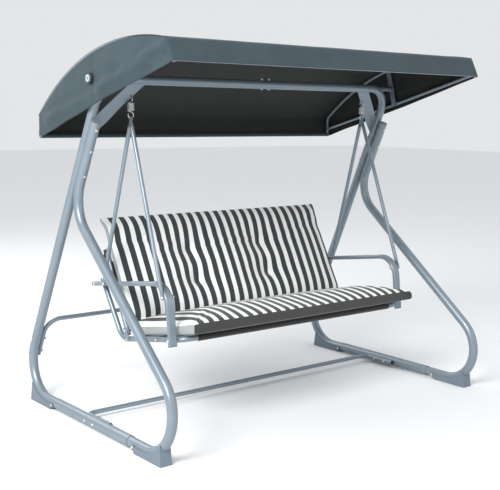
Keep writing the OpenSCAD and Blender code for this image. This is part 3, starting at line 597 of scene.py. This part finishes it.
def tuft_dent(x, b):
    """How deep the tufts and the creases between them pull the face in."""
    dent = 0.0
    low, high = TUFT_ROWS
    for tx in TUFT_XS:
        for tb in TUFT_ROWS:
            # a sharp pucker in a wide dip
            r = math.hypot((x - tx) / 1.15, b - tb)
            dent += 0.010 * math.exp(-(r / 0.015) ** 2) + 0.021 * math.exp(-(r / 0.052) ** 2)
        inside = smoothstep(low - 0.05, low, b) * (1 - smoothstep(high, high + 0.045, b))
        dent += 0.009 * inside * math.exp(-((x - tx - 0.004 * math.sin(b * 40)) / 0.010) ** 2)
    return dent


def back_cushion():
    nx, ny, nz = 132, 50, 4
    keys, faces, sides = block_grid(nx, ny, nz)
    front = curve_table([
        (0.045, 0.040), (0.085, 0.060), (0.25, 0.056), (0.40, 0.052),
        (CHANNEL, 0.046), (0.49, 0.055), (0.53, 0.056), (0.575, 0.040)])
    below = 38  # rows of cells below the channel
    above = ny - below
    rows = ([lerp(BACK_LOW, CHANNEL, j / below) for j in range(below + 1)]
            + [lerp(CHANNEL, BACK_HIGH, j / above) for j in range(1, above + 1)])
    verts, cloth = [], []
    for i, j, k in keys:
        s, b, w = i / nx, rows[j], k / nz
        x = lerp(-BACK_W, BACK_W, s)
        height = min(1, max(0, (b - BACK_LOW) / (BACK_HIGH - BACK_LOW)))
        edge = 1 - over(s, SEAM_POWER)
        corner = edge * smoothstep(0.52, BACK_HIGH, b)
        x *= 1 - 0.004 * (1 - abs(2 * height - 1) ** 8) + 0.020 * corner
        x += (0.003 * math.sin(math.pi * w) * (1 if s > 0.5 else -1)) if i in (0, nx) else 0
        up = b + 0.006 * corner
        up += 0.010 * math.sin(math.pi * w) if j == ny else 0
        face = max(0.0245, front(b) - 0.007 * edge - tuft_dent(x, b))
        face += 0.0035 * noise.noise(Vector((x * 5, b * 7, 3))) * over(s, 8)
        back = 0.0185 - 0.0025 * over(s, 8) * over(height, 6)
        verts.append(on_back(x, up, lerp(back, face, w)))
        cloth.append((lerp(-BACK_CLOTH, BACK_CLOTH, s), b))
    # the back's sides and rear face take the grey of painted shade
    pick = {"top": 0, "bottom": 0, "rear": 2, "front": 0, "left": 2, "right": 2}
    obj = add_piece("back_pad", verts, faces, [BACK_STRIPES, BAND, SHADED_SIDE_CANVAS], [pick[s] for s in sides], cloth)
    held = []
    for n, (i, j, k) in enumerate(keys):
        at_seam = k in (0, nz) and (i in (0, nx) or j in (0, ny))
        at_tuft = k == nz and any(math.hypot(verts[n].x - tx, rows[j] - tb) < 0.011 for tx, tb in TUFTS)
        if at_seam or at_tuft:
            held.append(n)
    finish_cushion(obj, held, BACK_AT, BACK_FRONT, "back_cushion")


BUTTON_AT = 0.0195  # in front of the back's plane, which is inside the cushion
BUTTON_R, BUTTON_RISE, BUTTON_TIP_R = 0.0055, 0.0028, 0.0004


def tuft_buttons():
    """A small covered button behind each tuft, inside the back cushion."""
    rings, sides = 5, 14
    for n, (x, b) in enumerate(TUFTS):
        centre = on_back(x, b, BUTTON_AT)
        verts = []
        for r in range(rings):
            ang = math.pi / 2 * r / (rings - 1)
            rad = BUTTON_R * math.sin(ang) if r else BUTTON_TIP_R
            for k in range(sides):
                a = 2 * math.pi * k / sides
                verts.append(centre + BACK_FRONT * (BUTTON_RISE * math.cos(ang))
                             + Vector((math.cos(a), 0, 0)) * rad + BACK_DIR * (math.sin(a) * rad))
        button = add_piece("tuft_button_%d" % n, verts, ring_faces(rings, sides), [BAND],
                           cloth=[(v.x, v.y) for v in verts])
        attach(button, "seat")


seat_cushion()
back_cushion()
tuft_buttons()

# ------------------------------------------------------------------ slings

SLING_THICK = 0.0011
RAIL_R, REAR_R = 0.0158, 0.0143  # of the sling where it turns round the front and the rear rail
SEAT_FRONT, SEAT_REAR = 0.513, 0.068  # places of those rails along the seat
SLING_HALF = 0.607
TUBE_X = 0.684  # the back tubes' axes


def solid_sheet(name, rows, cols, at, mat, thick, cloth_at):
    """Grid sheet with a modifier for its thickness. at(u, v) in 0..1 gives the middle surface."""
    places = [(i / cols, j / rows) for j in range(rows + 1) for i in range(cols + 1)]
    verts = [at(u, v) for u, v in places]
    cloth = [cloth_at(u, v) for u, v in places]
    n = cols + 1
    corners = [j * n + i for j in range(rows) for i in range(cols)]
    faces = [(c, c + 1, c + n + 1, c + n) for c in corners]
    obj = add_piece(name, verts, faces, [mat], cloth=cloth)
    mod = obj.modifiers.new("thick", "SOLIDIFY")
    mod.thickness = thick
    mod.offset = 0
    return obj


def seat_sling():
    """Textile panel: round the front rail, flat under the cushion, round the rear rail."""
    front = SEAT_AT + SEAT_DIR * SEAT_FRONT
    rear = SEAT_AT + SEAT_DIR * SEAT_REAR
    turn_steps, flat_steps, turn, sag = 12, 30, 190, 0.0006

    def turned(centre, radius, start):
        angles = [math.radians(start + turn * k / turn_steps) for k in range(turn_steps + 1)]
        return [centre + SEAT_DIR * (radius * math.cos(a)) + SEAT_UP * (radius * math.sin(a)) for a in angles]

    # from below the front rail, round its front, to its top, and on to the rear rail
    path = turned(front, RAIL_R, -100)
    for k in range(1, flat_steps):
        t = k / flat_steps
        path.append(front.lerp(rear, t) + SEAT_UP * (lerp(RAIL_R, REAR_R, t) - sag * math.sin(math.pi * t)))
    path += turned(rear, REAR_R, 90)
    lengths = [0.0]
    for a, b in zip(path, path[1:]):
        lengths.append(lengths[-1] + (b - a).length)
    rows, cols = len(path) - 1, 120

    def at(u, v):
        p = path[round(v * rows)].copy()
        p.x = lerp(-SLING_HALF, SLING_HALF, u)
        return p

    obj = solid_sheet("seat_panel", rows, cols, at, SLING, SLING_THICK,
                      lambda u, v: (lerp(-SLING_HALF, SLING_HALF, u), lengths[round(v * rows)]))
    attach(obj, "seat")
    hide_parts("seat_sling")


def back_sling():
    """Textile panel over the front of the back tubes, turned back round their inner side."""
    low, high, r = 0.090, 0.365, 0.0136
    rows, cols, fold_cols = 24, 110, 14
    half = TUBE_X + 0.004
    fold_from, fold_to, fold_length = 98, 245, 0.035

    def panel(u, v):
        return on_back(lerp(-half, half, u), lerp(low, high, v), r)

    obj = solid_sheet("back_panel", rows, cols, panel, SLING, SLING_THICK,
                      lambda u, v: (lerp(-half, half, u), lerp(low, high, v)))
    for side, name in ((-1, "left"), (1, "right")):
        def fold(u, v, side=side):
            a = math.radians(lerp(fold_from, fold_to, u))
            return on_back(side * (TUBE_X + r * math.cos(a)), lerp(low, high, v), r * math.sin(a))

        part = solid_sheet("back_sleeve_" + name, rows, fold_cols, fold, SLING, SLING_THICK,
                           lambda u, v: (u * fold_length, lerp(low, high, v)))
        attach(part, "seat")
    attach(obj, "seat")
    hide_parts("back_sling")


seat_sling()
back_sling()

# ------------------------------------------------------------------ canopy

# The top is an arc round ARC_Y, ARC_Z. The other places are y and z of the edges of its two ends.
ARC_Y, ARC_Z, ARC_R = -0.330, 0.447, 1.2752
REAR_TOP, REAR_LOW = (0.5225, 1.3955), (0.5225, 1.290)
FRONT_TOP, FRONT_LOW = (-0.5455, 1.7037), (-0.5925, 1.614)
CANOPY_THICK = 0.0011
CLOTH_HALF = 0.93
LEFT_SEED, RIGHT_SEED = 1.3, 6.1  # where each side's wrinkles lie in the noise
FOLD_RISE = 1.9
FOLDS = [  # from and to, in y and z, with the fold's height and width
    ((0.42, 1.372), (-0.10, 1.515), 0.0065, 0.020),
    ((-0.06, 1.512), (-0.42, 1.618), 0.0075, 0.017),
    ((-0.26, 1.600), (-0.53, 1.662), 0.0060, 0.013),
    ((-0.38, 1.640), (-0.54, 1.690), 0.0045, 0.012),
    ((-0.20, 1.585), (-0.50, 1.645), -0.0030, 0.010),
    ((0.30, 1.420), (0.46, 1.385), 0.0035, 0.016),
]


def ridge(y, z, a, b, height, width):
    """A soft fold along the segment a to b, in the side panel's own plane."""
    dy, dz = b[0] - a[0], b[1] - a[1]
    t = ((y - a[0]) * dy + (z - a[1]) * dz) / (dy * dy + dz * dz)
    along = math.exp(-((max(0, -t) + max(0, t - 1)) / 0.28) ** 2)
    t = min(1, max(0, t))
    d = math.hypot(y - a[0] - t * dy, z - a[1] - t * dz)
    return height * along * math.exp(-(d / width) ** 2)


def side_x(y, z, v, seed):
    """How far out the side panel lies, from its seam at v = 0 to its hem at v = 1."""
    back = smoothstep(-0.56, 0.5, y)
    top = lerp(0.9215, 0.9372, back)
    if y < 0:
        low = lerp(0.9222, 0.9448, smoothstep(-0.58, -0.06, y))
    else:
        low = lerp(0.9448, 0.9385, smoothstep(0.05, 0.5, y))
    x = lerp(top, low, smoothstep(0.0, 0.5, v))
    r = math.hypot(y, z - KNOB_Z)
    near = math.exp(-(r / 0.075) ** 2)
    hem = math.exp(-((1 - v) / 0.05) ** 2)
    fold = sum(ridge(y, z, *spec) for spec in FOLDS)
    # puckers round the knob, and the cloth's own unevenness
    fold += 0.0022 * math.cos(5 * math.atan2(z - KNOB_Z, y) + seed) * math.exp(-((r - 0.055) / 0.035) ** 2)
    fold += 0.0045 * (noise.noise(Vector((y * 5, z * 6, seed))) + 0.3) * smoothstep(0.03, 0.3, v)
    fold += 0.0014 * noise.noise(Vector((y * 16, z * 18, seed + 4)))
    edge = smoothstep(0.0, 0.12, v)
    x += max(FOLD_RISE * fold, -0.0004) * edge * (1 - 0.75 * hem) * (1 - near)
    # the hem turns in a little below the rail, and the cloth lies flat under the knob
    x -= 0.0015 * hem * smoothstep(-0.5, -0.3, y)
    return lerp(x, 0.9444, math.exp(-(r / 0.034) ** 4))


def top_drop(x, y):
    """The cloth sinks a little between the tubes and the arches."""
    across = 1 - smoothstep(0.80, 0.93, abs(x))
    along = smoothstep(0.0, 0.25, 0.50 - y) * smoothstep(0.0, 0.22, y + 0.50)
    n = noise.noise(Vector((x * 1.7, y * 2.4, 2.0)))
    ripple = noise.noise(Vector((x * 6 + y * 3, y * 9, 5.0)))
    return across * along * (0.009 + 0.005 * n) + across * 0.0011 * ripple


def canopy():
    nx, arc_rows, wall = 112, 76, 12
    a0 = math.atan2(REAR_TOP[0] - ARC_Y, REAR_TOP[1] - ARC_Z)
    a1 = math.atan2(FRONT_TOP[0] - ARC_Y, FRONT_TOP[1] - ARC_Z)
    verts, cloth, index = [], [], {}

    def add(key, co, where):
        if key not in index:
            index[key] = len(verts)
            verts.append(co)
            cloth.append(where)
        return index[key]

    def outline(j):
        a = lerp(a0, a1, j / arc_rows)
        return ARC_Y + ARC_R * math.sin(a), ARC_Z + ARC_R * math.cos(a), a

    def hem_point(j):
        y, _, _ = outline(j)
        t = (REAR_TOP[0] - y) / (REAR_TOP[0] - FRONT_TOP[0])
        return lerp(REAR_LOW[0], FRONT_LOW[0], t), lerp(REAR_LOW[1], FRONT_LOW[1], t)

    def side_vertex(side, j, m):
        """Row m down the side panel at outline row j."""
        y0, z0, _ = outline(j)
        y1, z1 = hem_point(j)
        v = m / wall
        y, z = lerp(y0, y1, v), lerp(z0, z1, v)
        x = side_x(y, z, v, LEFT_SEED if side < 0 else RIGHT_SEED)
        z -= 0.0025 * math.exp(-((1 - v) / 0.08) ** 2) * (noise.noise(Vector((y * 7, side, 1))) + 0.2)
        drop = math.hypot(y1 - y0, z1 - z0)
        return add(("s", side, j, m), Vector((side * x, y, z)), (y, v * drop))

    def sheet_vertex(i, j, m=0):
        """Top at row j; m rows down the rear wall (j = 0) or the front valance (j = arc_rows)."""
        if i in (0, nx):
            return side_vertex(-1 if i == 0 else 1, j, m)
        s = 2 * i / nx - 1
        if m:
            y0, z0, _ = outline(j)
            y1, z1 = hem_point(j)
            v = m / wall
            half = side_x(lerp(y0, y1, v), lerp(z0, z1, v), v, LEFT_SEED)
            out = -1 if j else 1
            wave = 0.0016 * noise.noise(Vector((s * 9, v * 2, 3.0 + j))) + 0.0012 * (1 - s * s)
            y = lerp(y0, y1, v) + out * max(0, wave)
            z = lerp(z0, z1, v) - 0.0015 * v * noise.noise(Vector((s * 8, 0, 8.0 + j)))
            drop = math.hypot(y1 - y0, z1 - z0)
            return add(("w", i, j, m), Vector((s * half, y, z)), (s * CLOTH_HALF, v * drop))
        y, z, a = outline(j)
        half = side_x(y, z, 0, LEFT_SEED)
        r = ARC_R - top_drop(s * half, y)
        co = Vector((s * half, ARC_Y + r * math.sin(a), ARC_Z + r * math.cos(a)))
        return add(("t", i, j), co, (s * CLOTH_HALF, (a0 - a) * ARC_R))

    faces = []
    for j in range(arc_rows):
        for i in range(nx):
            quad = [sheet_vertex(i, j), sheet_vertex(i + 1, j),
                    sheet_vertex(i + 1, j + 1), sheet_vertex(i, j + 1)]
            faces.append(tuple(reversed(quad)))
    for j in (0, arc_rows):
        for m in range(wall):
            for i in range(nx):
                quad = [sheet_vertex(i, j, m), sheet_vertex(i, j, m + 1),
                        sheet_vertex(i + 1, j, m + 1), sheet_vertex(i + 1, j, m)]
                faces.append(tuple(quad) if j else tuple(reversed(quad)))
    for side in (-1, 1):
        for j in range(arc_rows):
            for m in range(wall):
                quad = [side_vertex(side, j, m), side_vertex(side, j + 1, m),
                        side_vertex(side, j + 1, m + 1), side_vertex(side, j, m + 1)]
                faces.append(tuple(reversed(quad)) if side < 0 else tuple(quad))
    obj = add_piece("canopy_sheet", verts, faces, [CANOPY, UNDERSIDE_SHADE], cloth=cloth)
    subdivide(obj)
    mod = obj.modifiers.new("thick", "SOLIDIFY")
    # the sheet's second face takes the painted shade of the underside
    mod.thickness, mod.offset, mod.material_offset = CANOPY_THICK, 0, 1
    # welted seams where the side panels join the top
    seams = []
    for side, name in ((-1, "left"), (1, "right")):
        proud = Vector((side * 0.0003, 0, 0))
        path = [verts[side_vertex(side, j, 0)] + proud for j in range(arc_rows + 1)]
        seams.append(swept("canopy_welt_" + name, path, (0.0017, 0.0017), CANOPY, 8))
    seams.append(rear_hem())
    for seam in seams:
        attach(seam, "canopy")
    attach(obj, "canopy")
    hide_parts("canopy_cover")


def rear_hem():
    """The rear wall's hem: a sleeve round the rear tube."""
    tube_y, tube_z, r, half, round_steps = 0.508, 1.300, 0.0092, 0.933, 16
    angles = [math.radians(-190 * k / round_steps) for k in range(round_steps + 1)]
    loop = [Vector((0, tube_y + r * math.sin(a), tube_z - r * math.cos(a))) for a in angles]
    # it starts and ends on the rear wall's inner face
    loop.insert(0, Vector((0, 0.5220, 1.2912)))
    loop += [Vector((0, 0.5155, 1.3125)), Vector((0, 0.5220, 1.3200))]
    rows = len(loop) - 1
    return solid_sheet("canopy_rear_hem", rows, 90,
                       lambda u, v: loop[round(v * rows)] + Vector((lerp(-half, half, u), 0, 0)),
                       CANOPY, 0.0009, lambda u, v: (lerp(-CLOTH_HALF, CLOTH_HALF, u), v * 0.06))


canopy()

# ------------------------------------------------------------------ straps

TIE_ALONG = 0.428  # up the back tubes
TIE_R, TIE_BACK, TIE_DROP = 0.0142, 0.0165, 0.060
KNOT_R = 0.006


def circle_angles(steps):
    return [2 * math.pi * k / steps for k in range(steps)]


def tie(name, side):
    """A short webbing tie round a back tube, with its knot behind it and its two ends hanging."""
    centre = on_back(side * TUBE_X, TIE_ALONG, 0)
    loop = [centre + Vector((side * TIE_R * math.cos(a), 0, 0)) + BACK_FRONT * (TIE_R * math.sin(a))
            for a in circle_angles(30)]
    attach(swept(name, loop, (0.0055, 0.0011), STRAP, 10, closed=True), "seat")
    knot_at = centre - BACK_FRONT * TIE_BACK
    for n, lean in enumerate((-0.007, 0.006)):
        path = [knot_at + Vector((side * (0.002 + lean * t), 0, 0)) - Vector((0, 0, TIE_DROP * t))
                - BACK_FRONT * (0.006 * math.sin(math.pi * t)) for t in [k / 12 for k in range(13)]]
        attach(swept("%s_end_%d" % (name, n), path, (0.0050, 0.0009), STRAP, 8), "seat")
    knot = [knot_at + Vector((side * KNOT_R * math.cos(a), 0, KNOT_R * math.sin(a)))
            for a in circle_angles(16)]
    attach(swept(name + "_knot", knot, (0.0035, 0.0035), STRAP, 8, closed=True), "seat")


tie("tie_top_left", -1)
tie("tie_top_right", 1)
